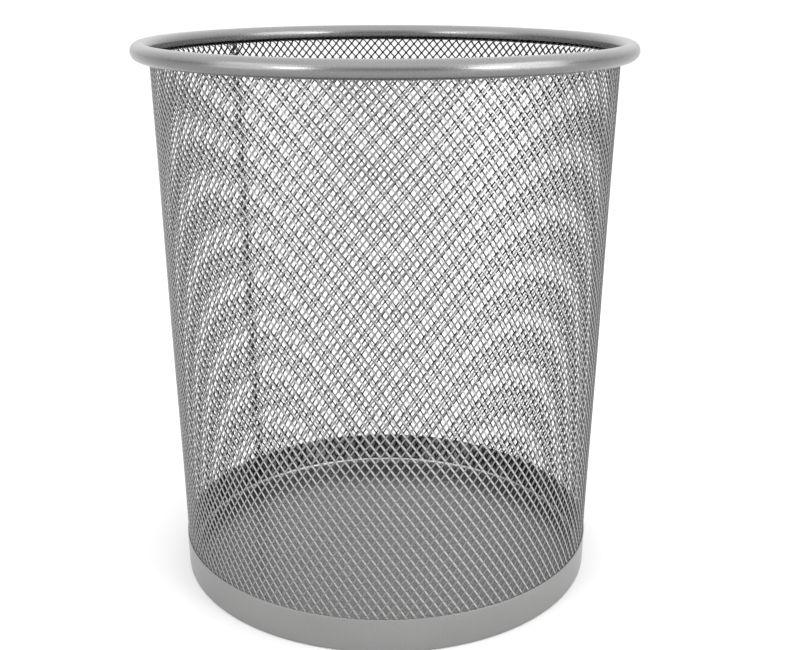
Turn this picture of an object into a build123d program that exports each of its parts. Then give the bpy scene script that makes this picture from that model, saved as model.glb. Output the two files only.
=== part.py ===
from build123d import *
import os
from math import cos, pi, radians, sin

# Round mesh wastebasket, in millimetres. +Z is up along the axis of the cone, and the origin is the centre
# of the base, on the floor. The mesh's lapped seam stands at the back left, and the rim's butt joint at the
# right.

# --- Driving dimensions -------------------------------------------------------------------------------------
TOTAL_HEIGHT = 328.0
RIM_OUTER_RADIUS = 147.5
RIM_TUBE_RADIUS = 5.1
RIM_WALL = 0.7
RIM_SLOT_INNER_EDGE = 208.0     # degrees round the tube's section, 180 is the point nearest the axis
RIM_SLOT_OUTER_EDGE = 258.0     # degrees round the tube's section, 270 is the lowest point
RIM_JOINT_AZIMUTH = -12.0       # degrees, anticlockwise from +X
RIM_JOINT_GAP = 0.8
RIM_WELD_PROUD = 0.12

MESH_SHEET = 0.6
MESH_FOOT_RADIUS = 127.6        # outer face of the mesh at the floor
MESH_NECK_RADIUS = 136.9        # outer face of the mesh just below the rim
MESH_NECK_DROP = 0.8            # from the rim's lowest point down to the neck, where the mesh starts to flare
MESH_LIP_OUT = 0.9              # the mesh's top edge ends this far outside the slot's mouth
MESH_LIP_RISE = 2.2             # and this far above it, inside the tube
SEAM_AZIMUTH = 138.0
SEAM_WELDS = 12
SEAM_WELD_RADIUS = 0.9
SEAM_WELD_TAPER = 20

BAND_HEIGHT = 21.2
BAND_SHEET = 0.6
BAND_BOTTOM_BEND = 1.6
BAND_HEM = 6.0                  # width of the flange that is folded in under the floor pan
BAND_WELD_RADIUS = 1.0
BAND_WELD_PROUD = 0.3
BAND_WELD_TAPER = 30
BAND_WELD_MARGIN = 1.0          # the weld bead stops this far short of the band's bend and top edge

PAN_SHEET = 0.7
PAN_FLOOR_TOP = 1.6
PAN_BEAD_RADIUS = 125.6
PAN_BEAD_TOP = 3.5
PAN_BEAD_HALF_WIDTH = 1.3
CLEARANCE = 0.05                # between sheets that are pressed together

# --- Worked out from them -----------------------------------------------------------------------------------
RIM_CENTRE_RADIUS = RIM_OUTER_RADIUS - RIM_TUBE_RADIUS
RIM_CENTRE_HEIGHT = TOTAL_HEIGHT - RIM_TUBE_RADIUS
MESH_NECK_HEIGHT = RIM_CENTRE_HEIGHT - RIM_TUBE_RADIUS - MESH_NECK_DROP
MESH_SLOPE = (MESH_NECK_RADIUS - MESH_FOOT_RADIUS) / MESH_NECK_HEIGHT
MESH_BOTTOM = BAND_BOTTOM_BEND     # the sheet's lower edge stands just above the band's inner bend


def mesh_radius(height):
    """Radius of the mesh's outer face at a height below the neck."""
    return MESH_FOOT_RADIUS + MESH_SLOPE * height


def rim_point(degrees, radius):
    """A point of the rim's section: degrees round the tube's centre, at a radius from it."""
    angle = radians(degrees)
    return (RIM_CENTRE_RADIUS + radius * cos(angle), RIM_CENTRE_HEIGHT + radius * sin(angle))


def wall_plane(azimuth, radius, height):
    """The plane that lies on the conical wall, facing out, at an azimuth in degrees, a radius and a height."""
    angle = radians(azimuth)
    outwards = (cos(angle), sin(angle), -MESH_SLOPE)
    sideways = (-sin(angle), cos(angle), 0)
    return Plane(origin=(radius * cos(angle), radius * sin(angle), height), x_dir=sideways, z_dir=outwards)


def rim_section(outer_radius, inner_radius):
    """Draws the C-shaped section of the rolled rim as a closed face in the XZ plane."""
    middle = (RIM_SLOT_INNER_EDGE + RIM_SLOT_OUTER_EDGE) / 2 - 180
    outer_start = rim_point(RIM_SLOT_INNER_EDGE, outer_radius)
    outer_end = rim_point(RIM_SLOT_OUTER_EDGE, outer_radius)
    inner_start = rim_point(RIM_SLOT_INNER_EDGE, inner_radius)
    inner_end = rim_point(RIM_SLOT_OUTER_EDGE, inner_radius)
    with BuildSketch(Plane.XZ) as section:
        with BuildLine():
            ThreePointArc(outer_start, rim_point(middle, outer_radius), outer_end)
            Line(outer_end, inner_end)
            ThreePointArc(inner_end, rim_point(middle, inner_radius), inner_start)
            Line(inner_start, outer_start)
        make_face()
    return section.sketch


# --- Rim tube: a rolled C section, bent into a hoop whose ends meet at the joint ----------------------------
joint_angle = 360 * RIM_JOINT_GAP / (2 * pi * RIM_CENTRE_RADIUS)
rim_profile = rim_section(RIM_TUBE_RADIUS, RIM_TUBE_RADIUS - RIM_WALL)

with BuildPart() as rim_tube:
    add(rim_profile.rotate(Axis.Z, RIM_JOINT_AZIMUTH + joint_angle / 2))
    revolve(axis=Axis.Z, revolution_arc=360 - joint_angle)

rim_tube.part.label = "rim_tube"

# --- Weld in the rim's butt joint: fills the gap between the ends, a little proud of the tube ----------------
weld_profile = rim_section(RIM_TUBE_RADIUS + RIM_WELD_PROUD, RIM_TUBE_RADIUS - RIM_WALL)

with BuildPart() as rim_joint_weld:
    add(weld_profile.rotate(Axis.Z, RIM_JOINT_AZIMUTH - joint_angle / 2))
    revolve(axis=Axis.Z, revolution_arc=joint_angle)

rim_joint_weld.part.label = "rim_joint_weld"

# --- Mesh wall: a conical sheet whose top edge flares into the rim's slot ------------------------------------
slot_mouth = rim_point((RIM_SLOT_INNER_EDGE + RIM_SLOT_OUTER_EDGE) / 2, RIM_TUBE_RADIUS - RIM_WALL / 2)
sheet_top = (slot_mouth[0] + MESH_LIP_OUT, slot_mouth[1] + MESH_LIP_RISE)

with BuildPart() as mesh_wall:
    with BuildSketch(Plane.XZ) as mesh_section:
        with BuildLine():
            Polyline(
                (mesh_radius(MESH_BOTTOM), MESH_BOTTOM),
                (MESH_NECK_RADIUS, MESH_NECK_HEIGHT),
                (slot_mouth[0] + MESH_SHEET / 2, slot_mouth[1]),
                (sheet_top[0] + MESH_SHEET / 2, sheet_top[1]),
                (sheet_top[0] - MESH_SHEET / 2, sheet_top[1]),
                (slot_mouth[0] - MESH_SHEET / 2, slot_mouth[1]),
                (MESH_NECK_RADIUS - MESH_SHEET, MESH_NECK_HEIGHT),
                (mesh_radius(MESH_BOTTOM) - MESH_SHEET, MESH_BOTTOM),
                close=True,
            )
        make_face()
    revolve(axis=Axis.Z)

mesh_wall.part.label = "mesh_wall"

# --- Spot welds down the mesh's lapped seam, on its outer face ------------------------------------------------
weld_span = MESH_NECK_HEIGHT - BAND_HEIGHT
weld_pitch = weld_span / SEAM_WELDS

with BuildPart() as mesh_seam_welds:
    for index in range(SEAM_WELDS):
        weld_height = BAND_HEIGHT + (index + 0.5) * weld_pitch
        weld_plane = wall_plane(SEAM_AZIMUTH, mesh_radius(weld_height) + CLEARANCE, weld_height)
        with BuildSketch(weld_plane):
            Circle(SEAM_WELD_RADIUS)
        extrude(amount=MESH_SHEET, taper=SEAM_WELD_TAPER)

mesh_seam_welds.part.label = "mesh_seam_welds"

# --- Base band: a strip hoop outside the mesh, rolled in at the bottom under the pan's edge -------------------
band_inner_foot = MESH_FOOT_RADIUS + CLEARANCE
band_inner_top = mesh_radius(BAND_HEIGHT) + CLEARANCE
band_outer_top = band_inner_top + BAND_SHEET
band_bend_radius = band_inner_foot + MESH_SLOPE * BAND_BOTTOM_BEND + BAND_SHEET
hem_inner_radius = band_bend_radius - BAND_BOTTOM_BEND - BAND_HEM

with BuildPart() as base_band:
    with BuildSketch(Plane.XZ) as band_section:
        with BuildLine():
            bend_start = (band_bend_radius - BAND_BOTTOM_BEND, 0)
            outer_bend = JernArc(bend_start, (1, 0), BAND_BOTTOM_BEND, 90)
            Line(outer_bend @ 1, (band_outer_top, BAND_HEIGHT))
            Line((band_outer_top, BAND_HEIGHT), (band_outer_top - BAND_SHEET, BAND_HEIGHT))
            Line((band_outer_top - BAND_SHEET, BAND_HEIGHT), (band_bend_radius - BAND_SHEET, BAND_BOTTOM_BEND))
            inner_bend = JernArc(
                (band_bend_radius - BAND_SHEET, BAND_BOTTOM_BEND),
                (0, -1),
                BAND_BOTTOM_BEND - BAND_SHEET,
                -90,
            )
            Line(inner_bend @ 1, (hem_inner_radius, BAND_SHEET))
            Line((hem_inner_radius, BAND_SHEET), (hem_inner_radius, 0))
            Line((hem_inner_radius, 0), bend_start)
        make_face()
    revolve(axis=Axis.Z)

base_band.part.label = "base_band"

# --- Weld down the band's joint: a low half-round bead on its outer face --------------------------------------
bead_bottom = BAND_BOTTOM_BEND + BAND_WELD_MARGIN
bead_length = BAND_HEIGHT - bead_bottom - BAND_WELD_MARGIN
bead_radius = band_bend_radius + MESH_SLOPE * (bead_bottom + bead_length / 2 - BAND_BOTTOM_BEND)

with BuildPart() as band_joint_weld:
    with BuildSketch(wall_plane(SEAM_AZIMUTH, bead_radius + CLEARANCE, bead_bottom + bead_length / 2)):
        SlotOverall(bead_length, 2 * BAND_WELD_RADIUS, rotation=90)
    extrude(amount=BAND_WELD_PROUD, taper=BAND_WELD_TAPER)

band_joint_weld.part.label = "band_joint_weld"

# --- Floor pan: a pressed sheet with a raised bead near its edge and a flange turned down inside the mesh ------
flange_bottom = BAND_SHEET + CLEARANCE
bead_side = PAN_BEAD_RADIUS - PAN_BEAD_HALF_WIDTH
bead_crest = PAN_BEAD_TOP - PAN_BEAD_HALF_WIDTH
inner_half = PAN_BEAD_HALF_WIDTH - PAN_SHEET

with BuildPart() as floor_pan:
    with BuildSketch(Plane.XZ) as pan_section:
        with BuildLine():
            Line((0, PAN_FLOOR_TOP), (bead_side, PAN_FLOOR_TOP))
            Line((bead_side, PAN_FLOOR_TOP), (bead_side, bead_crest))
            outer_crest = ThreePointArc(
                (bead_side, bead_crest),
                (PAN_BEAD_RADIUS, PAN_BEAD_TOP),
                (PAN_BEAD_RADIUS + PAN_BEAD_HALF_WIDTH, bead_crest),
            )
            Line(outer_crest @ 1, (PAN_BEAD_RADIUS + PAN_BEAD_HALF_WIDTH, flange_bottom))
            Line(
                (PAN_BEAD_RADIUS + PAN_BEAD_HALF_WIDTH, flange_bottom),
                (PAN_BEAD_RADIUS + inner_half, flange_bottom),
            )
            Line((PAN_BEAD_RADIUS + inner_half, flange_bottom), (PAN_BEAD_RADIUS + inner_half, bead_crest))
            inner_crest = ThreePointArc(
                (PAN_BEAD_RADIUS + inner_half, bead_crest),
                (PAN_BEAD_RADIUS, PAN_BEAD_TOP - PAN_SHEET),
                (PAN_BEAD_RADIUS - inner_half, bead_crest),
            )
            Line(inner_crest @ 1, (PAN_BEAD_RADIUS - inner_half, PAN_FLOOR_TOP - PAN_SHEET))
            Line((PAN_BEAD_RADIUS - inner_half, PAN_FLOOR_TOP - PAN_SHEET), (0, PAN_FLOOR_TOP - PAN_SHEET))
            Line((0, PAN_FLOOR_TOP - PAN_SHEET), (0, PAN_FLOOR_TOP))
        make_face()
    revolve(axis=Axis.Z)

floor_pan.part.label = "floor_pan"

# --- One STEP file for each sub-part --------------------------------------------------------------------------
os.makedirs("parts", exist_ok=True)
for piece in (rim_tube, rim_joint_weld, mesh_wall, mesh_seam_welds, base_band, band_joint_weld, floor_pan):
    export_step(piece.part, f"parts/{piece.part.label}.step")
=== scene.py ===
"""Round mesh wastebasket: the visual model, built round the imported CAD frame.

Every length is in metres, with +Z up along the basket's axis and the floor at z = 0. An azimuth is an angle
round the axis from +X, anticlockwise seen from above, so the side that faces the camera is at -90 degrees.
"""

import logging
import math
from dataclasses import dataclass, field
from enum import Enum, IntEnum

import bpy
import numpy as np
from mathutils import Matrix, Vector


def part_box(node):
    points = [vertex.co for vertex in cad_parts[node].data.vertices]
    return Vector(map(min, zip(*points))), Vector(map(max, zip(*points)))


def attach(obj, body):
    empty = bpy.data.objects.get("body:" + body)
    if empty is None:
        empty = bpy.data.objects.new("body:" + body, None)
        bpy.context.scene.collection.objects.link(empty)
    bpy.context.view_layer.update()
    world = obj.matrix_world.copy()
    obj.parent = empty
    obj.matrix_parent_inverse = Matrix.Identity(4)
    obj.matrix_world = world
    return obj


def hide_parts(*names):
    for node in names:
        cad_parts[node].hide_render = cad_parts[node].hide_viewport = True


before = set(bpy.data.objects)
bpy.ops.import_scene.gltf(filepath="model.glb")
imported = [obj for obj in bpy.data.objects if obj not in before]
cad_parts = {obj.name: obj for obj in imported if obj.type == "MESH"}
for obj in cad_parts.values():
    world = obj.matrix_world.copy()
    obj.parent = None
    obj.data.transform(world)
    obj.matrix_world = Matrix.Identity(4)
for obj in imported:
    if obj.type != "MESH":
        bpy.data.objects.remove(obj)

LOG = logging.getLogger("wastebasket")
MM = 0.001
FULL_TURN = 2.0 * math.pi
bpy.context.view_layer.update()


# --- Meshes ---------------------------------------------------------------------------------------


class Shading(Enum):
    """How light rolls over a piece's faces."""

    SMOOTH = True
    FLAT = False


@dataclass
class Surface:
    """A mesh being put together: its points, and its faces in groups, each an array with a row for each face.

    Paints gives the number of each group's paint among the piece's paints. Without it, all have the first.
    """

    points: np.ndarray
    faces: list[np.ndarray]
    paints: list[int] = field(default_factory=list)

    def without_loose_points(self) -> "Surface":
        """Drops the points that no face uses.

        Returns:
            The same surface, with its points renumbered.
        """
        used = np.unique(np.concatenate([group.ravel() for group in self.faces]))
        renumber = np.zeros(len(self.points), np.int64)
        renumber[used] = np.arange(len(used))
        return Surface(self.points[used], [renumber[group] for group in self.faces], self.paints)

    def make_object(self, name: str, shading: Shading) -> bpy.types.Object:
        """Writes the arrays into a Blender mesh and links its object at the origin.

        Args:
            name: The piece's name.
            shading: Whether the faces are shaded smooth or flat.

        Returns:
            The new object.
        """
        tidy = self.without_loose_points()
        mesh = bpy.data.meshes.new(name)
        corner_counts = np.concatenate([np.full(len(group), group.shape[1]) for group in tidy.faces])
        corners = np.concatenate([group.ravel() for group in tidy.faces])
        starts = np.concatenate([[0], np.cumsum(corner_counts)[:-1]])
        mesh.vertices.add(len(tidy.points))
        mesh.vertices.foreach_set("co", tidy.points.astype(np.float32).ravel())
        mesh.loops.add(len(corners))
        mesh.loops.foreach_set("vertex_index", corners.astype(np.int32))
        mesh.polygons.add(len(corner_counts))
        mesh.polygons.foreach_set("loop_start", starts.astype(np.int32))
        mesh.polygons.foreach_set("use_smooth", np.full(len(corner_counts), shading.value))
        if tidy.paints:
            numbers = np.repeat(tidy.paints, [len(group) for group in tidy.faces])
            mesh.polygons.foreach_set("material_index", numbers.astype(np.int32))
        mesh.update(calc_edges=True)
        mesh.validate()
        piece = bpy.data.objects.new(name, mesh)
        bpy.context.scene.collection.objects.link(piece)
        return piece


def smoothstep(value: np.ndarray, low: float, high: float) -> np.ndarray:
    """Rises from 0 at low to 1 at high along 3t^2 - 2t^3, and stays level outside them."""
    share = np.clip((value - low) / (high - low), 0.0, 1.0)
    return share * share * (3.0 - 2.0 * share)


def arc(centre: tuple[float, float], radius: float, start: float, end: float, count: int) -> np.ndarray:
    """Points of a circular arc in the (radius, height) plane.

    Args:
        centre: The arc's centre.
        radius: Its radius.
        start: Its first angle in degrees, 0 pointing away from the axis and 90 up.
        end: Its last angle in degrees.
        count: How many points, both ends included.

    Returns:
        An array of count rows of (radius, height).
    """
    angles = np.radians(np.linspace(start, end, count))
    return np.stack([centre[0] + radius * np.cos(angles), centre[1] + radius * np.sin(angles)], axis=1)


def in_space(radius: np.ndarray, azimuth: np.ndarray, height: np.ndarray) -> np.ndarray:
    """Points x = r cos(t), y = r sin(t), z = h of radii, azimuths and heights that broadcast together."""
    radius, azimuth, height = np.broadcast_arrays(radius, azimuth, height)
    return np.stack([radius * np.cos(azimuth), radius * np.sin(azimuth), height], axis=-1)


def turned(profile: np.ndarray, segments: int) -> Surface:
    """Carries a closed profile once round the axis in even steps.

    Args:
        profile: Rows of (radius, height) that form a ring, anticlockwise with the radius to the right.
        segments: How many steps make the full turn.

    Returns:
        A closed ring, with its faces pointing out.
    """
    turn = np.linspace(0.0, FULL_TURN, segments, endpoint=False)[:, None]
    points = in_space(profile[None, :, 0], turn, profile[None, :, 1])
    return Surface(points.reshape(-1, 3), [ring_quads(segments, len(profile), True, True)])


def ring_quads(rows: int, columns: int, wrap_rows: bool, wrap_columns: bool) -> np.ndarray:
    """The quads of a grid of points numbered row by row.

    Args:
        rows: How many rows of points.
        columns: How many points in a row.
        wrap_rows: Whether the last row joins the first.
        wrap_columns: Whether each row's last point joins its first.

    Returns:
        Four point numbers for each quad. Its side from the first point to the second runs along the rows.
    """
    row = np.arange(rows if wrap_rows else rows - 1)[:, None]
    column = np.arange(columns if wrap_columns else columns - 1)[None, :]
    start, next_start = row * columns, (row + 1) % rows * columns
    next_column = (column + 1) % columns
    corners = [start + column, next_start + column, next_start + next_column, start + next_column]
    shape = (row.size, column.size)
    return np.stack([np.broadcast_to(corner, shape) for corner in corners], axis=-1).reshape(-1, 4)


# --- Shader maths ---------------------------------------------------------------------------------

# The Mix node's sockets go by number, because those of its data types share their names.
MIX_FACTOR = 0
MIX_FIRST_COLOUR = 6
MIX_SECOND_COLOUR = 7
MIX_COLOUR = 2


class Signal:
    """A number that varies over a surface. Arithmetic on it adds Math nodes to its graph."""

    def __init__(self, graph: "Graph", socket: bpy.types.NodeSocket | None) -> None:
        """Wraps an output socket of a graph, or none for a node that has no outputs."""
        self.graph = graph
        self.socket = socket

    def _math(self, operation: str, *values: "Signal | float") -> "Signal":
        """One Math node over these values."""
        return self.graph.node("ShaderNodeMath", {"operation": operation}, dict(enumerate(values)))

    def __add__(self, other: "Signal | float") -> "Signal":
        """self + other."""
        return self._math("ADD", self, other)

    def __radd__(self, other: float) -> "Signal":
        """other + self."""
        return self._math("ADD", other, self)

    def __sub__(self, other: "Signal | float") -> "Signal":
        """self - other."""
        return self._math("SUBTRACT", self, other)

    def __rsub__(self, other: float) -> "Signal":
        """other - self."""
        return self._math("SUBTRACT", other, self)

    def __mul__(self, other: "Signal | float") -> "Signal":
        """self * other."""
        return self._math("MULTIPLY", self, other)

    def __rmul__(self, other: float) -> "Signal":
        """other * self."""
        return self._math("MULTIPLY", other, self)

    def clipped(self) -> "Signal":
        """self held between 0 and 1."""
        return self._math("MINIMUM", self._math("MAXIMUM", self, 0.0), 1.0)

    def ramped(self, low: float, high: float) -> "Signal":
        """0 where self is at low, 1 where it is at high, held level outside them."""
        return ((self - low) * (1.0 / (high - low))).clipped()


class Graph:
    """The node tree of one material or world."""

    def __init__(self, tree: bpy.types.NodeTree) -> None:
        """Empties a node tree and wraps it."""
        self.tree = tree
        tree.nodes.clear()

    def node(
        self,
        kind: str,
        settings: dict[str, object] | None = None,
        inputs: dict[str | int, object] | None = None,
        output: str | int = 0,
    ) -> Signal:
        """Adds one node.

        Args:
            kind: The node's Blender type.
            settings: Its own properties, which are set first.
            inputs: A value or a Signal for each socket that isn't left as it is, by name or number.
            output: The output socket that is wanted, by name or number.

        Returns:
            The chosen output as a Signal.
        """
        made = self.tree.nodes.new(kind)
        for key, value in (settings or {}).items():
            setattr(made, key, value)
        for key, value in (inputs or {}).items():
            if isinstance(value, Signal):
                self.tree.links.new(value.socket, made.inputs[key])
            else:
                made.inputs[key].default_value = value
        return Signal(self, made.outputs[output] if made.outputs else None)

    def place(self) -> Signal:
        """The point of the surface, in metres from the basket's origin."""
        return self.node("ShaderNodeTexCoord", output="Object")

    def noise(self, scale: float, detail: float) -> Signal:
        """A cloudy pattern from 0 to 1.

        Args:
            scale: Patches to the metre.
            detail: How many finer layers it has.

        Returns:
            The pattern's value.
        """
        inputs = {"Vector": self.place(), "Scale": scale, "Detail": detail}
        return self.node("ShaderNodeTexNoise", inputs=inputs)

    def flakes(self, scale: float) -> Signal:
        """A value from 0 to 1 that is even inside each tiny cell and random from cell to cell."""
        inputs = {"Vector": self.place(), "Scale": scale}
        cells = self.node("ShaderNodeTexVoronoi", {"feature": "F1"}, inputs, output="Color")
        return self.node("ShaderNodeSeparateColor", inputs={"Color": cells}, output="Red")

    def mixed_colour(self, share: Signal, first: tuple[float, ...], second: tuple[float, ...]) -> Signal:
        """A colour that goes from first, where share is 0, to second, where it is 1."""
        inputs = {MIX_FACTOR: share, MIX_FIRST_COLOUR: (*first, 1.0), MIX_SECOND_COLOUR: (*second, 1.0)}
        return self.node("ShaderNodeMix", {"data_type": "RGBA"}, inputs, MIX_COLOUR)

    def bump(self, height: Signal, depth: float, strength: float) -> Signal:
        """A normal that follows a height pattern, whose full range is depth metres."""
        return self.node("ShaderNodeBump", inputs={"Height": height, "Distance": depth, "Strength": strength})


@dataclass(frozen=True)
class SilverPaint:
    """Silver paint with metal flake, baked on steel: flake sparkle, faint clouds and a fine orange peel."""

    name: str
    dark: tuple[float, float, float]
    light: tuple[float, float, float]
    roughness: float
    metallic: float = 0.9
    roughness_spread: float = 0.06
    flake_share: float = 0.35
    flakes_per_metre: float = 2600.0
    clouds_per_metre: float = 14.0
    cloud_detail: float = 3.0
    peel_per_metre: float = 520.0
    peel_detail: float = 2.0
    peel_depth: float = 0.02 * MM
    peel_strength: float = 0.25
    clear_coat: float = 0.15
    coat_roughness: float = 0.22

    def material(self) -> bpy.types.Material:
        """Builds the paint's material.

        The colour goes between dark and light with the sum of a flake value, random in each cell, and a slow
        cloud. The roughness rises a little where the cloud is thick, and the orange peel is a bump from a
        fine noise.

        Returns:
            The material.
        """
        made = bpy.data.materials.new(self.name)
        made.use_nodes = True
        graph = Graph(made.node_tree)
        flake = graph.flakes(self.flakes_per_metre)
        cloud = graph.noise(self.clouds_per_metre, self.cloud_detail)
        peel = graph.noise(self.peel_per_metre, self.peel_detail)
        tone = (flake * self.flake_share + cloud * (1.0 - self.flake_share)).clipped()
        cloudy = self.roughness + (cloud - 0.5) * (2.0 * self.roughness_spread)
        rough = cloudy + (flake - 0.5) * self.roughness_spread
        shader = graph.node(
            "ShaderNodeBsdfPrincipled",
            inputs={
                "Base Color": graph.mixed_colour(tone, self.dark, self.light),
                "Metallic": self.metallic,
                "Roughness": rough.clipped(),
                "Coat Weight": self.clear_coat,
                "Coat Roughness": self.coat_roughness,
                "Normal": graph.bump(peel, self.peel_depth, self.peel_strength),
            },
        )
        graph.node("ShaderNodeOutputMaterial", inputs={"Surface": shader})
        return made


def grey(level: float) -> tuple[float, float, float]:
    """A neutral colour."""
    return level, level, level


RIM_PAINT = SilverPaint("rim_silver_paint", grey(0.145), grey(0.205), roughness=0.27)
# The mesh paints are lit and shaded copies of one silver. This lightest copy, on the falling strands and the
# welds, is painted light for faces that lean up into the light.
MESH_PAINT = SilverPaint("mesh_painted_light_silver_paint", grey(0.32), grey(0.44), roughness=0.50)
# Painted shade: the wall's inner faces take a near-black copy of the mesh silver, for the shade inside the
# basket.
MESH_INNER_PAINTED_SHADE = SilverPaint("mesh_inner_painted_shade_silver_paint", grey(0.012), grey(0.026), roughness=0.50)
# Painted shade: the openings' cut walls and the web's free edges take a dark copy of the mesh silver.
MESH_CUT_PAINTED_SHADE = SilverPaint("mesh_cut_edge_painted_shade_silver_paint", grey(0.09), grey(0.13), roughness=0.50)
# Painted shade: the bonds round the nodes take a dark copy of the mesh silver, for the shade in the twisted
# nodes.
MESH_BOND_PAINTED_SHADE = SilverPaint("mesh_bond_painted_shade_silver_paint", grey(0.11), grey(0.16), roughness=0.50)
# Painted shade: the rising strands' faces lean down, so they take a darker copy of the mesh silver.
MESH_RISING_PAINTED_SHADE = SilverPaint("mesh_rising_painted_shade_silver_paint", grey(0.17), grey(0.25), roughness=0.50)
BAND_PAINT = SilverPaint("band_silver_paint", (0.22, 0.22, 0.218), (0.30, 0.30, 0.297), roughness=0.38)
PAN_PAINT = SilverPaint("pan_silver_paint", (0.13, 0.13, 0.128), (0.18, 0.18, 0.178), roughness=0.26)
# Painted highlight: the floor pan's bead takes a much lighter copy of the pan silver, for the bright line
# along its crest.
PAN_BEAD_PAINTED_HIGHLIGHT = SilverPaint(
    "pan_bead_painted_highlight_silver_paint", (0.42, 0.42, 0.415), (0.52, 0.52, 0.515), roughness=0.34
)


def finished(
    piece: bpy.types.Object, paints: tuple[SilverPaint, ...], slot: str, *nodes: str
) -> bpy.types.Object:
    """Paints a piece, and says what it rides on and which CAD nodes it stands for.

    Args:
        piece: The finished mesh object.
        paints: Its paints, in the order in which its faces number them.
        slot: The name of a material slot; not used.
        nodes: The CAD nodes that it replaces.

    Returns:
        The same piece.
    """
    for paint in paints:
        piece.data.materials.append(bpy.data.materials.get(paint.name) or paint.material())
    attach(piece, "root")
    if nodes:
        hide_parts(*nodes)
    return piece


# --- Mesh wall ------------------------------------------------------------------------------------


OPENING_CORNERS = 8


class WallPart(Enum):
    """The wall's sheet is made in three parts, numbered from the bottom up."""

    LOWER = 0
    MIDDLE = 1
    UPPER = 2


class MeshFace(IntEnum):
    """The kinds of face on the wall. Each has a paint of its own, under the same number: painted light on the
    falling faces and painted shade on the others.
    """

    FALLING = 0
    INNER = 1
    CUT = 2
    BOND = 3
    RISING = 4


# In the order of MeshFace.
MESH_PAINTS = (MESH_PAINT, MESH_INNER_PAINTED_SHADE, MESH_CUT_PAINTED_SHADE, MESH_BOND_PAINTED_SHADE, MESH_RISING_PAINTED_SHADE)


@dataclass(frozen=True)
class Ripple:
    """A slow wave over the sheet: share * sin(turns * azimuth + climb * height + phase)."""

    share: float
    turns: float
    climb: float
    phase: float

    def at(self, azimuth: np.ndarray, height: np.ndarray) -> np.ndarray:
        """The wave's value at places on the sheet."""
        return self.share * np.sin(self.turns * azimuth + self.climb * height + self.phase)


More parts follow.
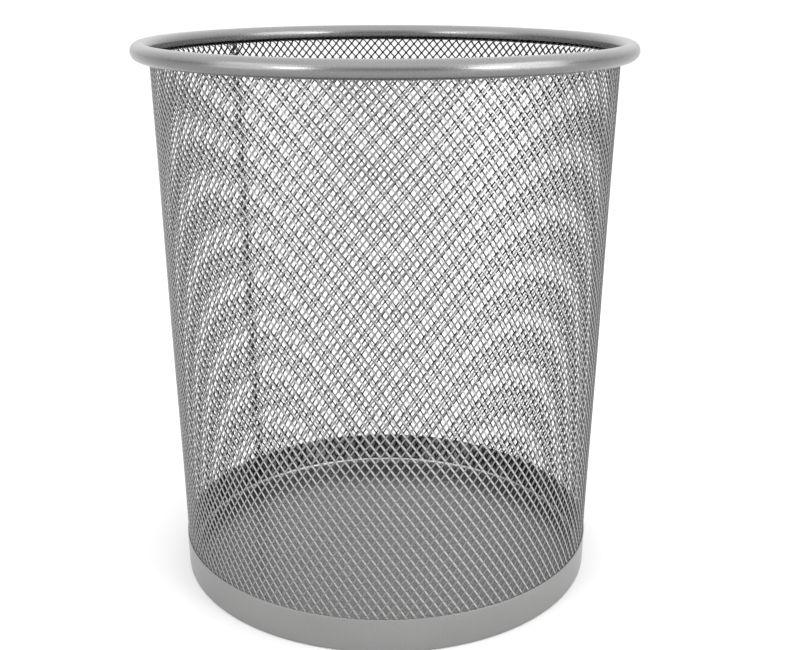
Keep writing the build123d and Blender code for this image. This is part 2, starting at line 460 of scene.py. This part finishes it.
@dataclass
class MeshWall:
    """One sheet of expanded metal, bent into a cone so that its two ends lap over each other.

    A place on the sheet is (column, half row). Strands cross at nodes: on an even half row the nodes are at
    whole columns, and on an odd one half a column further on. A diamond opening stands between four nodes. A
    falling strand goes down to the right seen from outside, and a rising one goes up.
    """

    foot_radius: float = 127.3 * MM
    neck_radius: float = 136.6 * MM
    neck_height: float = 317.0 * MM
    mouth_radius: float = 139.54 * MM
    mouth_height: float = 319.11 * MM
    top_radius: float = 140.44 * MM
    band_top: float = 21.2 * MM
    columns_per_turn: float = 154.4
    columns: int = 156
    half_rows: int = 90
    first_azimuth: float = math.radians(135.65)
    first_row_height: float = 8.34 * MM
    row_shrink: float = 0.876
    row_offset: float = 0.1335
    spread: tuple[float, float] = (0.25, -0.07)
    twist: float = 0.08
    back_twist: float = 0.142
    row_tilt: float = -0.436
    row_bow: float = 0.305
    falling_width: float = 0.96 * MM
    rising_width: float = 0.82 * MM
    sheet: float = 0.5 * MM
    side_blunting: float = 0.12
    end_blunting: float = 0.05
    strand_tilt: float = math.radians(2.0)
    tilt_fade: float = 2.0 * MM
    lap_lift: float = 0.62 * MM
    waviness: float = 0.10 * MM
    waves_from: float = 3.0
    waves_to: float = 260.0 * MM
    ripples: tuple[Ripple, ...] = (Ripple(1.0, 5.0, 21.0, 0.0), Ripple(0.8, 9.0, -34.0, 1.7))
    welds: int = 12
    lowest_weld_row: float = 4.0
    rows_above_welds: float = 3.0
    weld_radius: float = 0.85 * MM
    weld_bulge: float = 0.45
    weld_sink: float = 0.1 * MM
    weld_rings: int = 4
    weld_spokes: int = 10

    def height(self, half_row: np.ndarray) -> np.ndarray:
        """Height of a half row: (1 - exp(-shrink * first height * rows)) / shrink, so rows get shorter."""
        rows = half_row / 2.0 + self.row_offset
        return (1.0 - np.exp(-self.row_shrink * self.first_row_height * rows)) / self.row_shrink

    def radius(self, height: np.ndarray) -> np.ndarray:
        """Radius of the sheet's middle: a cone up to the neck, then a flare out through the rim's slot.

        Args:
            height: Heights above the floor.

        Returns:
            The radii.
        """
        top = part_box("mesh_wall")[1].z
        heights = [0.0, self.neck_height, self.mouth_height, top]
        radii = [self.foot_radius, self.neck_radius, self.mouth_radius, self.top_radius]
        return np.interp(height, heights, radii)

    def drifted(self, column: np.ndarray, height: np.ndarray) -> tuple[np.ndarray, np.ndarray]:
        """Where a place on the sheet really ends up, because a hand-fed sheet is never wrapped quite true.

        Level goes from -1 at the floor to 1 at the top. The columns run ahead by spread x cos + spread y sin
        of the azimuth, plus level times (twist + back twist sin). The rows rise by tilt cos + bow level^2,
        in half rows, but the sheet's foot stays level in the band.

        Args:
            column: Columns from the sheet's first end.
            height: Heights above the floor on a true sheet.

        Returns:
            The azimuths and the heights.
        """
        azimuth = self.first_azimuth + FULL_TURN * column / self.columns_per_turn
        east, north = np.cos(azimuth), np.sin(azimuth)
        level = 2.0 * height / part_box("mesh_wall")[1].z - 1.0
        ahead = self.spread[0] * east + self.spread[1] * north
        ahead = ahead + level * (self.twist + self.back_twist * north)
        half_row = 0.5 * self.first_row_height * (1.0 - self.row_shrink * height)
        raised = (self.row_tilt * east + self.row_bow * level**2) * half_row
        raised = raised * smoothstep(height, 0.0, self.band_top)
        return azimuth + FULL_TURN * ahead / self.columns_per_turn, height + raised

    def placed(self, column: np.ndarray, height: np.ndarray, lift: np.ndarray | float) -> np.ndarray:
        """Points in space of places on the sheet.

        The azimuth and the height come from the drift. The radius is the cone's plus the lift, plus the
        ripples, which fade out towards the band and the rim, and plus or minus half the lap's lift near the
        sheet's ends, so that the last columns pass outside the first.

        Args:
            column: Columns from the sheet's first end.
            height: Heights above the floor.
            lift: Distances out from the sheet's middle.

        Returns:
            The points, with x, y, z on the last axis.
        """
        azimuth, height = self.drifted(column, height)
        lap_columns = self.columns - self.columns_per_turn
        outer_end = smoothstep(column, self.columns_per_turn - lap_columns, self.columns_per_turn)
        inner_end = 1.0 - smoothstep(column, lap_columns, 2.0 * lap_columns)
        lap = self.lap_lift * 0.5 * (outer_end - inner_end)
        free = smoothstep(height, self.band_top, self.waves_from * self.band_top)
        free = free * (1.0 - smoothstep(height, self.waves_to, self.neck_height))
        ripple = sum(wave.at(azimuth, height) for wave in self.ripples)
        return in_space(self.radius(height) + lift + lap + self.waviness * free * ripple, azimuth, height)

    def relief(self, offset: np.ndarray, height: np.ndarray) -> np.ndarray:
        """How far a strand's face stands out, because the strands lean a little, like louvres.

        It is -tan(tilt) * offset, except where the band and the rim press the sheet flat.

        Args:
            offset: Distances sideways from the strand's middle line.
            height: Heights above the floor.

        Returns:
            The distances out from the sheet.
        """
        loose = smoothstep(height, self.band_top, self.band_top + self.tilt_fade)
        loose = loose * (1.0 - smoothstep(height, self.neck_height - self.tilt_fade, self.neck_height))
        return -math.tan(self.strand_tilt) * offset * loose

    def opening_outline(
        self, up: np.ndarray, down: np.ndarray, half_width: np.ndarray
    ) -> tuple[np.ndarray, np.ndarray]:
        """The eight corners of each opening, from the diamond's middle, anticlockwise seen from outside.

        Each side of the lattice's diamond is drawn in by half its strand's width w, which moves its line
        x / a + y / b = 1 to 1 - (w / 2) * side / (a * b). The four corners where the drawn-in lines meet are
        then cut off, most at the sides.

        Args:
            up: Height of each diamond's upper half.
            down: Height of its lower half.
            half_width: Half its width.

        Returns:
            Sideways and upward offsets, each with eight numbers for each diamond.
        """
        upper = np.hypot(half_width, up) / (2.0 * half_width * up)
        lower = np.hypot(half_width, down) / (2.0 * half_width * down)
        right_up, left_up = 1.0 - self.falling_width * upper, 1.0 - self.rising_width * upper
        left_down, right_down = 1.0 - self.falling_width * lower, 1.0 - self.rising_width * lower
        along = [right_up + right_down, right_up - left_up, -left_up - left_down, right_down - left_down]
        above = [right_up - right_down, right_up + left_up, left_up - left_down, -right_down - left_down]
        corners = np.stack([np.stack(along), np.stack(above)], axis=-1).swapaxes(0, 1) / 2.0
        following = np.roll(corners, -1, axis=1)
        blunting = np.array([self.side_blunting, self.end_blunting] * 2)[:, None]
        first = corners + blunting * (following - corners)
        second = following + np.roll(blunting, -1, axis=0) * (corners - following)
        outline = np.stack([first, second], axis=2).reshape(-1, OPENING_CORNERS, 2)
        reach = np.where(outline[..., 1] > 0, up[:, None], down[:, None])
        return outline[..., 0] * half_width[:, None], outline[..., 1] * reach

    def lattice(self, first: int, last: int) -> Surface:
        """The closed web of strands round the diamonds whose middles are on half rows first to last.

        Each diamond owns the halves of its four strands that face it: a ring of faces between its four nodes
        and its opening's eight corners, in front and behind, and the opening's eight walls. Rows of diamonds
        share their nodes, and the free edges are closed with strips from front to back.

        Args:
            first: The lowest half row.
            last: The highest half row.

        Returns:
            The web.
        """
        half_row, index = np.meshgrid(np.arange(first, last + 1), np.arange(self.columns), indexing="ij")
        on_sheet = (half_row % 2 == 0) | (index >= 1)
        half_row, index = half_row[on_sheet], index[on_sheet]
        middle = index + 0.5 * (1 - half_row % 2)

        base = self.height(half_row)
        up, down = self.height(half_row + 1) - base, base - self.height(half_row - 1)
        half_width = self.radius(base) * (FULL_TURN / self.columns_per_turn) / 2.0
        sideways, upward = self.opening_outline(up, down, half_width)
        column = middle[:, None] + 0.5 * sideways / half_width[:, None]
        height = base[:, None] + upward
        reach = np.where(upward > 0, up[:, None], down[:, None])
        line = np.sign(sideways) * half_width[:, None] * (1.0 - np.abs(upward) / reach)
        lift = self.relief(sideways - line, height)

        node_rows = np.arange(first - 1, last + 2)
        node_row, node_index = np.meshgrid(node_rows, np.arange(self.columns + 1), indexing="ij")
        node_column = node_index + 0.5 * (node_row % 2)
        node_height = self.height(node_row)
        sides = (self.sheet / 2.0, -self.sheet / 2.0)
        node_points = [self.placed(node_column, node_height, side).reshape(-1, 3) for side in sides]
        corner_points = [self.placed(column, height, lift + side).reshape(-1, 3) for side in sides]
        points = np.concatenate([*node_points, *corner_points])
        node_count, corner_count = node_row.size, column.size

        def node(row: np.ndarray, at_column: np.ndarray) -> np.ndarray:
            """The number of the front node on a half row at a column."""
            return (row - (first - 1)) * (self.columns + 1) + np.floor(at_column).astype(np.int64)

        right, left = node(half_row, middle + 0.5), node(half_row, middle - 0.5)
        top, bottom = node(half_row + 1, middle), node(half_row - 1, middle)
        outer = np.stack([right, top, left, bottom], axis=1)
        corner = 2 * node_count + np.arange(corner_count).reshape(-1, OPENING_CORNERS)

        next_outer = np.roll(outer, -1, axis=1)
        bonds, strands = [], []
        for side in range(4):
            near, far = corner[:, 2 * side], corner[:, 2 * side + 1]
            bonds.append(np.stack([outer[:, side], near, corner[:, 2 * side - 1]], axis=1))
            strands.append(np.stack([outer[:, side], next_outer[:, side], far, near], axis=1))
        front = [np.concatenate(bonds), np.concatenate(strands[0::2]), np.concatenate(strands[1::2])]
        back = [group + np.where(group < 2 * node_count, node_count, corner_count) for group in front]
        back = [group[:, ::-1] for group in back]
        next_corner = np.roll(corner, -1, axis=1)
        walls = np.stack([corner, next_corner, next_corner + corner_count, corner + corner_count], axis=-1)

        start, end = outer.ravel(), next_outer.ravel()
        free = ~np.isin(start * node_count + end, end * node_count + start)
        start, end = start[free], end[free]
        edges = np.stack([end, start, start + node_count, end + node_count], axis=1)
        # Falling faces take the painted-light copy; bonds, rising faces, inner faces and cut walls take
        # darker copies of painted shade.
        paints = [MeshFace.BOND, MeshFace.FALLING, MeshFace.RISING]
        paints += [MeshFace.INNER] * len(back) + [MeshFace.CUT] * 2
        return Surface(points, [*front, *back, walls.reshape(-1, 4), edges], paints)

    def build(self) -> list[bpy.types.Object]:
        """Makes the wall's three parts.

        Returns:
            The three pieces, bottom to top.
        """
        rows = (self.half_rows - 1) // len(WallPart) + 1
        pieces = []
        for part in WallPart:
            first = 1 + part.value * rows
            last = min(first + rows, self.half_rows) - 1
            web = self.lattice(first, last)
            piece = web.make_object(f"mesh_wall_{part.name.lower()}", Shading.FLAT)
            pieces.append(finished(piece, MESH_PAINTS, "mesh_paint", "mesh_wall"))
        return pieces

    def build_welds(self) -> bpy.types.Object:
        """Makes the spot welds of the lapped seam: low domes on nodes of the outer layer.

        A dome's radius falls as cos(t) and its height grows as sin(t) from its edge to its crown.

        Returns:
            One piece that holds all the domes.
        """
        highest_row = self.half_rows / 2.0 - self.rows_above_welds
        half_row = 2 * np.round(np.linspace(self.lowest_weld_row, highest_row, self.welds))
        column = np.full(self.welds, self.columns - 1.0)
        centres = self.placed(column, self.height(half_row), self.sheet / 2.0)
        outwards = centres * [1.0, 1.0, 0.0]
        outwards /= np.linalg.norm(outwards, axis=1, keepdims=True)
        sideways = np.stack([-outwards[:, 1], outwards[:, 0], np.zeros(self.welds)], axis=1)
        upwards = np.array([0.0, 0.0, 1.0])

        rings, spokes = self.weld_rings, self.weld_spokes
        tilt = np.linspace(0.0, math.pi / 2.0, rings + 1)[:-1, None]
        spin = np.linspace(0.0, FULL_TURN, spokes, endpoint=False)
        flat = self.weld_radius * np.cos(tilt)
        bulge = self.weld_bulge * self.weld_radius
        rise = np.broadcast_to(bulge * np.sin(tilt) - self.weld_sink, (rings, spokes))
        dome = (
            centres[:, None, None]
            + (flat * np.cos(spin))[..., None] * sideways[:, None, None]
            + (flat * np.sin(spin))[..., None] * upwards
            + rise[..., None] * outwards[:, None, None]
        )
        crown = centres + (bulge - self.weld_sink) * outwards
        foot = centres - self.weld_sink * outwards
        points = np.concatenate([dome.reshape(-1, 3), crown, foot])

        dome_number = np.arange(self.welds)[:, None]
        dome_start = dome_number * (rings * spokes)
        ring = ring_quads(rings, spokes, False, True)[:, ::-1]
        quads = (dome_start[..., None] + ring).reshape(-1, 4)
        first_ring = dome_start + np.arange(spokes)
        last_ring = first_ring + (rings - 1) * spokes
        crown_point = np.broadcast_to(self.welds * rings * spokes + dome_number, last_ring.shape)
        cap = np.stack([last_ring, np.roll(last_ring, -1, axis=1), crown_point], axis=-1).reshape(-1, 3)
        foot_point = crown_point + self.welds
        base = np.stack([np.roll(first_ring, -1, axis=1), first_ring, foot_point], axis=-1).reshape(-1, 3)
        piece = Surface(points, [quads, cap, base]).make_object("mesh_seam_welds", Shading.SMOOTH)
        return finished(piece, (MESH_PAINT,), "mesh_paint", "mesh_seam_welds")


# --- Rim ------------------------------------------------------------------------------------------


@dataclass
class Rim:
    """A rolled steel hoop with a C section, open towards the mesh, whose ends are welded together."""

    outer_radius: float
    top: float
    tube_radius: float = 5.1 * MM
    wall: float = 0.7 * MM
    slot_inner_edge: float = 208.0
    slot_outer_edge: float = 258.0
    joint_azimuth: float = math.radians(-12.0)
    joint_gap: float = 0.5 * MM
    edge_rounding: float = 0.25 * MM
    weld_depth: float = 0.22 * MM
    weld_crown: float = 0.06 * MM
    outer_points: int = 97
    inner_points: int = 61
    lip_points: int = 9
    edge_steps: int = 5
    segments: int = 480

    @property
    def centre(self) -> tuple[float, float]:
        """The tube's centre as (radius, height)."""
        return self.outer_radius - self.tube_radius, self.top - self.tube_radius

    def section(self, shrink: float) -> np.ndarray:
        """The C section: the outer arc, a rounded lip, the inner arc back, and the other lip.

        Args:
            shrink: How far the outer arc is drawn in.

        Returns:
            A closed outline of (radius, height) rows, anticlockwise.
        """
        outer = self.tube_radius - shrink
        inner = self.tube_radius - self.wall
        middle, lip = (outer + inner) / 2.0, (outer - inner) / 2.0
        start, end = self.slot_outer_edge, self.slot_inner_edge + 360.0
        outside = arc(self.centre, outer, start, end, self.outer_points)
        inside = arc(self.centre, inner, end, start, self.inner_points)
        lips = []
        for angle, first in ((end, end), (start, start + 180.0)):
            turn = math.radians(angle)
            at = (self.centre[0] + middle * math.cos(turn), self.centre[1] + middle * math.sin(turn))
            lips.append(arc(at, lip, first, first + 180.0, self.lip_points)[1:-1])
        return np.concatenate([outside, lips[0], inside, lips[1]])

    def swept(self, azimuths: np.ndarray, shrinks: np.ndarray) -> Surface:
        """Carries the section along an open arc, with its own shrink at each azimuth, and closes both ends.

        Args:
            azimuths: Angles round the axis.
            shrinks: How far the outer arc is drawn in at each of them.

        Returns:
            The closed tube.
        """
        sections = np.stack([self.section(shrink) for shrink in shrinks])
        points = in_space(sections[..., 0], azimuths[:, None], sections[..., 1])
        steps, around = sections.shape[:2]
        quads = ring_quads(steps, around, False, True)
        first_end = np.arange(around)[None, :]
        last_end = (steps - 1) * around + np.arange(around)[None, ::-1]
        return Surface(points.reshape(-1, 3), [quads, first_end, last_end])

    def build(self) -> list[bpy.types.Object]:
        """Makes the hoop, whose ends are rounded over into a groove, and the weld at the groove's bottom.

        Returns:
            The hoop and the weld.
        """
        half_gap = self.joint_gap / 2.0 / self.outer_radius
        rounding = self.edge_rounding / self.outer_radius
        quarter = np.linspace(0.0, math.pi / 2.0, self.edge_steps)
        into_edge = rounding * (1.0 - np.cos(quarter))
        start, end = self.joint_azimuth + half_gap, self.joint_azimuth + FULL_TURN - half_gap
        body = np.linspace(start + rounding, end - rounding, self.segments)[1:-1]
        azimuths = np.concatenate([start + into_edge, body, end - into_edge[::-1]])
        edge_drop = self.edge_rounding * (1.0 - np.sin(quarter))
        shrinks = np.concatenate([edge_drop, np.zeros(len(body)), edge_drop[::-1]])
        hoop = self.swept(azimuths, shrinks).make_object("rim_tube", Shading.SMOOTH)
        weld_azimuths = self.joint_azimuth + np.linspace(-half_gap, half_gap, self.edge_steps)
        bulge = np.cos(np.linspace(-math.pi / 2.0, math.pi / 2.0, self.edge_steps))
        bead = self.weld_depth - self.weld_crown * bulge
        weld = self.swept(weld_azimuths, bead).make_object("rim_joint_weld", Shading.SMOOTH)
        return [
            finished(hoop, (RIM_PAINT,), "rim_paint", "rim_tube"),
            finished(weld, (RIM_PAINT,), "rim_paint", "rim_joint_weld"),
        ]


# --- Base band ------------------------------------------------------------------------------------


@dataclass
class BaseBand:
    """A strip hoop round the foot of the mesh, rolled in at the bottom to a flat hem under the floor pan."""

    outer_radius: float
    height: float
    sheet: float = 0.6 * MM
    bend: float = 1.6 * MM
    taper: float = 0.02934
    hem: float = 6.0 * MM
    edge_rounding: float = 0.12 * MM
    seam_azimuth: float = math.radians(138.0)
    weld_half_width: float = 1.0 * MM
    weld_proud: float = 0.3 * MM
    weld_margin: float = 1.0 * MM
    weld_end_power: int = 12
    weld_pools: float = 9.0
    weld_pool_depth: float = 0.12
    weld_steps: int = 41
    weld_spokes: int = 20
    bend_points: int = 15
    inner_bend_points: int = 11
    face_points: int = 9
    edge_points: int = 5
    segments: int = 480

    def wall_radius(self, height: np.ndarray | float) -> np.ndarray | float:
        """Radius of the band's outer face, which leans out with the mesh."""
        return self.outer_radius - self.taper * (self.height - height)

    def section(self) -> np.ndarray:
        """The band's outline: outer bend, outer face, rounded top edge, inner face, inner bend and hem.

        Returns:
            A closed outline of (radius, height) rows, anticlockwise.
        """
        foot = self.wall_radius(self.bend)
        turn_centre = (foot - self.bend, self.bend)
        lean = math.degrees(math.atan(self.taper))
        outer_bend = arc(turn_centre, self.bend, -90.0, -lean, self.bend_points)
        top_outer = self.wall_radius(self.height)
        ease = self.edge_rounding
        outer_edge = arc((top_outer - ease, self.height - ease), ease, 0.0, 90.0, self.edge_points)
        inner_centre = (top_outer - self.sheet + ease, self.height - ease)
        inner_edge = arc(inner_centre, ease, 90.0, 180.0, self.edge_points)
        inner_bend = arc(turn_centre, self.bend - self.sheet, -lean, -90.0, self.inner_bend_points)
        hem_edge = foot - self.bend - self.hem
        hem = np.array([[hem_edge, self.sheet], [hem_edge, 0.0]])
        heights = np.linspace(self.bend, self.height - ease, self.face_points)[1:-1]
        face = np.stack([self.wall_radius(heights), heights], axis=1)
        inner_face = np.stack([self.wall_radius(heights[::-1]) - self.sheet, heights[::-1]], axis=1)
        return np.concatenate([outer_bend, face, outer_edge, inner_edge, inner_face, inner_bend, hem])

    def build(self) -> list[bpy.types.Object]:
        """Makes the band and the weld bead down its joint.

        Returns:
            The band and the bead.
        """
        band = turned(self.section(), self.segments).make_object("base_band", Shading.SMOOTH)
        return [finished(band, (BAND_PAINT,), "band_paint", "base_band"), self.build_weld()]

    def build_weld(self) -> bpy.types.Object:
        """Makes the bead: an ellipse across the joint, with its inner half inside the band, that swells and
        narrows along the joint like a run of weld pools.

        Returns:
            The bead.
        """
        steps, spokes = self.weld_steps, self.weld_spokes
        lengthwise = np.linspace(0.0, 1.0, steps)[:, None]
        around = np.linspace(0.0, FULL_TURN, spokes, endpoint=False)[None, :]
        low, high = self.bend + self.weld_margin, self.height - self.weld_margin
        taper = np.sqrt(np.clip(1.0 - (2.0 * lengthwise - 1.0) ** self.weld_end_power, 0.0, 1.0))
        pools = 1.0 + self.weld_pool_depth * np.cos(self.weld_pools * FULL_TURN * lengthwise)
        height = low + (high - low) * lengthwise
        across = self.weld_half_width * taper * pools * np.cos(around)
        out = self.weld_proud * taper * pools * np.sin(around)
        radius = self.wall_radius(height) + out
        points = in_space(radius, self.seam_azimuth + across / radius, height).reshape(-1, 3)
        quads = ring_quads(steps, spokes, False, True)[:, ::-1]
        low_end = np.arange(spokes)[None, :]
        high_end = low_end[:, ::-1] + (steps - 1) * spokes
        ends = [low_end, high_end]
        bead = Surface(points, [quads, *ends]).make_object("band_joint_weld", Shading.SMOOTH)
        return finished(bead, (BAND_PAINT,), "band_paint", "band_joint_weld")


# --- Floor pan ------------------------------------------------------------------------------------


class PanFace(IntEnum):
    """The kinds of face on the floor pan. Each has a paint of its own, under the same number; the bead's is a
    painted highlight.
    """

    SHEET = 0
    BEAD = 1


@dataclass
class FloorPan:
    """A pressed sheet with a raised bead near its edge and a flange turned down inside the mesh."""

    bead_top: float
    outer_radius: float
    sheet: float = 0.7 * MM
    floor_top: float = 1.6 * MM
    flange_bottom: float = 0.65 * MM
    bead_half_width: float = 1.3 * MM
    fillet: float = 0.5 * MM
    bead_points: int = 25
    under_bead_points: int = 11
    fillet_points: int = 7
    floor_rings: int = 39
    segments: int = 480

    def section(self) -> np.ndarray:
        """The pan's outline outside its flat floor: out along the underside of the bead and the flange, and
        back over the top. The bead is half a circle on each face, and a fillet eases it into the floor.

        Returns:
            Rows of (radius, height).
        """
        crest_radius = self.outer_radius - self.bead_half_width
        centre = (crest_radius, self.bead_top - self.bead_half_width)
        inner_half = self.bead_half_width - self.sheet
        underside = np.array([[crest_radius - inner_half, self.floor_top - self.sheet]])
        under_bead = arc(centre, inner_half, 180.0, 0.0, self.under_bead_points)
        flange_radii = (crest_radius + inner_half, self.outer_radius)
        flange = np.array([[radius, self.flange_bottom] for radius in flange_radii])
        over_bead = arc(centre, self.bead_half_width, 0.0, 180.0, self.bead_points)
        fillet_centre = (crest_radius - self.bead_half_width - self.fillet, self.floor_top + self.fillet)
        ease = arc(fillet_centre, self.fillet, 0.0, -90.0, self.fillet_points)
        return np.concatenate([underside, under_bead, flange, over_bead, ease])

    def build(self) -> list[bpy.types.Object]:
        """Turns the outline round the axis and closes the floor's two faces with rings of quads and a fan.

        Returns:
            The pan.
        """
        outline = self.section()
        inner_radius = outline[-1, 0]
        rings = np.linspace(0.0, inner_radius, self.floor_rings + 1)[1:]
        top = np.stack([rings[::-1], np.full(len(rings), self.floor_top)], axis=1)
        below = np.stack([rings, np.full(len(rings), self.floor_top - self.sheet)], axis=1)
        path = np.concatenate([below, outline[:-1], top])
        turn = np.linspace(0.0, FULL_TURN, self.segments, endpoint=False)[:, None]
        points = in_space(path[None, :, 0], turn, path[None, :, 1]).reshape(-1, 3)
        centres = np.array([[0.0, 0.0, self.floor_top - self.sheet], [0.0, 0.0, self.floor_top]])

        low = np.arange(self.segments) * len(path)
        high = low + len(path) - 1
        low_centre, high_centre = (np.full(self.segments, len(points) + centre) for centre in range(2))
        low_fan = np.stack([np.roll(low, -1), low, low_centre], axis=1)
        high_fan = np.stack([high, np.roll(high, -1), high_centre], axis=1)
        quads = ring_quads(self.segments, len(path), True, False).reshape(self.segments, -1, 4)
        bead_end = len(path) - len(top) - self.fillet_points
        on_bead = np.arange(bead_end - self.bead_points, bead_end)
        bead = quads[:, on_bead].reshape(-1, 4)
        rest = np.delete(quads, on_bead, axis=1).reshape(-1, 4)
        # The bead's faces take the painted-highlight copy of the pan silver.
        paints = [PanFace.SHEET] * 3 + [PanFace.BEAD]
        pan = Surface(np.concatenate([points, centres]), [rest, low_fan, high_fan, bead], paints)
        piece = pan.make_object("floor_pan", Shading.SMOOTH)
        return [finished(piece, (PAN_PAINT, PAN_BEAD_PAINTED_HIGHLIGHT), "pan_paint", "floor_pan")]


# --- Studio ---------------------------------------------------------------------------------------


@dataclass(frozen=True)
class Softbox:
    """An upright rectangular area lamp that points at the basket."""

    name: str
    direction: tuple[float, float, float]
    distance: float
    width: float
    height: float
    power: float

    def build(self, target: Vector) -> bpy.types.Object:
        """Hangs the lamp at its distance from the target, facing it.

        Args:
            target: The point that it faces.

        Returns:
            The lamp.
        """
        lamp = bpy.data.lights.new(self.name, "AREA")
        lamp.shape = "RECTANGLE"
        lamp.size = self.width
        lamp.size_y = self.height
        lamp.energy = self.power
        made = bpy.data.objects.new(self.name, lamp)
        towards = Vector(self.direction).normalized()
        made.location = target + towards * self.distance
        made.rotation_mode = "QUATERNION"
        made.rotation_quaternion = towards.to_track_quat("Z", "Y")
        bpy.context.scene.collection.objects.link(made)
        return made


@dataclass
class Studio:
    """The pale floor, the soft light and the camera.

    The sky's light rises from the horizon's to the zenith's while a direction's upward part goes from 0 to
    zenith_from. Its horizon goes from horizon_light to backdrop_light while the backward part goes from
    front_to to back_from.
    """

    camera_distance: float = 0.69077
    camera_height: float = 0.37355
    camera_pitch: float = 0.27
    camera_yaw: float = -0.0065
    lens: float = 51.81
    sensor: float = 36.0
    shift_right: float = 0.0089
    shift_up: float = -0.0604
    clip_near: float = 0.01
    clip_far: float = 100.0
    floor_side: float = 60.0
    floor_colour: tuple[float, float, float, float] = (0.59, 0.59, 0.59, 1.0)
    floor_roughness: float = 0.9
    floor_specular: float = 0.1
    horizon_light: float = 0.2
    backdrop_light: float = 1.0
    zenith_light: float = 2.1
    zenith_from: float = 0.7
    front_to: float = -0.3
    back_from: float = 0.5
    softboxes: tuple[Softbox, ...] = (
        Softbox("left_softbox", (-0.72, -0.52, 0.18), 1.2, 0.9, 1.1, 6.4),
        Softbox("right_softbox", (0.78, -0.50, 0.18), 1.2, 0.9, 1.1, 10.6),
        Softbox("left_glint_lamp", (-0.60, -0.80, 0.12), 1.0, 0.20, 0.20, 1.7),
        Softbox("right_glint_lamp", (0.65, -0.76, 0.12), 1.0, 0.20, 0.20, 1.7),
    )

    def build_camera(self) -> None:
        """Puts the camera in front of the basket, looking down at it a little, and makes it the scene's."""
        data = bpy.data.cameras.new("camera")
        data.sensor_width = self.sensor
        data.lens = self.lens
        data.shift_x = self.shift_right
        data.shift_y = self.shift_up
        data.clip_start = self.clip_near
        data.clip_end = self.clip_far
        made = bpy.data.objects.new("camera", data)
        made.location = (0.0, -self.camera_distance, self.camera_height)
        level = Matrix.Rotation(self.camera_yaw, 3, "Z")
        tipped = Matrix.Rotation(math.pi / 2.0 - self.camera_pitch, 3, "X")
        made.rotation_euler = (level @ tipped).to_euler()
        bpy.context.scene.collection.objects.link(made)
        bpy.context.scene.camera = made

    def build_floor(self) -> None:
        """Lays a wide pale floor under the basket."""
        half = self.floor_side / 2.0
        corners = np.array([[-half, -half, 0.0], [half, -half, 0.0], [half, half, 0.0], [-half, half, 0.0]])
        floor = Surface(corners, [np.array([[0, 1, 2, 3]])]).make_object("studio_floor", Shading.FLAT)
        made = bpy.data.materials.new("studio_floor")
        made.use_nodes = True
        graph = Graph(made.node_tree)
        looks = {
            "Base Color": self.floor_colour,
            "Roughness": self.floor_roughness,
            "Specular IOR Level": self.floor_specular,
        }
        shader = graph.node("ShaderNodeBsdfPrincipled", inputs=looks)
        graph.node("ShaderNodeOutputMaterial", inputs={"Surface": shader})
        floor.data.materials.append(made)

    def build_light(self) -> None:
        """Lights the scene with a sky that brightens smoothly from the horizon to overhead, and the lamps.

        The sky's horizon is dark in front, where the camera stands, and bright behind the basket.
        """
        world = bpy.data.worlds.new("studio_light")
        bpy.context.scene.world = world
        world.use_nodes = True
        graph = Graph(world.node_tree)
        towards = graph.node("ShaderNodeTexCoord", output="Generated")
        upward = graph.node("ShaderNodeSeparateXYZ", inputs={"Vector": towards}, output="Z")
        backward = graph.node("ShaderNodeSeparateXYZ", inputs={"Vector": towards}, output="Y")
        rise = upward.ramped(0.0, self.zenith_from)
        backdrop = backward.ramped(self.front_to, self.back_from)
        horizon = self.horizon_light + backdrop * (self.backdrop_light - self.horizon_light)
        strength = horizon + rise * (self.zenith_light - horizon)
        sky = graph.node("ShaderNodeBackground", inputs={"Color": (1.0, 1.0, 1.0, 1.0), "Strength": strength})
        graph.node("ShaderNodeOutputWorld", inputs={"Surface": sky})
        middle = Vector((0.0, 0.0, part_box("rim_tube")[1].z))
        for softbox in self.softboxes:
            softbox.build(middle)

    def build(self) -> None:
        """Sets up the camera, the floor and the light."""
        bpy.context.scene.view_settings.view_transform = "Standard"
        self.build_camera()
        self.build_floor()
        self.build_light()


def main() -> None:
    """Builds the studio and each sub-assembly in order, and reports each piece."""
    logging.basicConfig(level=logging.INFO, format="%(name)s: %(message)s")
    Studio().build()
    rim_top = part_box("rim_tube")[1]
    band_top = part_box("base_band")[1]
    pan_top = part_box("floor_pan")[1]
    wall = MeshWall(band_top=band_top.z)
    pieces = [
        *wall.build(),
        wall.build_welds(),
        *Rim(outer_radius=rim_top.x, top=rim_top.z).build(),
        *BaseBand(outer_radius=band_top.x, height=band_top.z).build(),
        *FloorPan(bead_top=pan_top.z, outer_radius=pan_top.x).build(),
    ]
    for piece in pieces:
        triangles = sum(len(face.vertices) - 2 for face in piece.data.polygons)
        LOG.info("%s: %d triangles", piece.name, triangles)


if __name__ == "__main__":
    main()
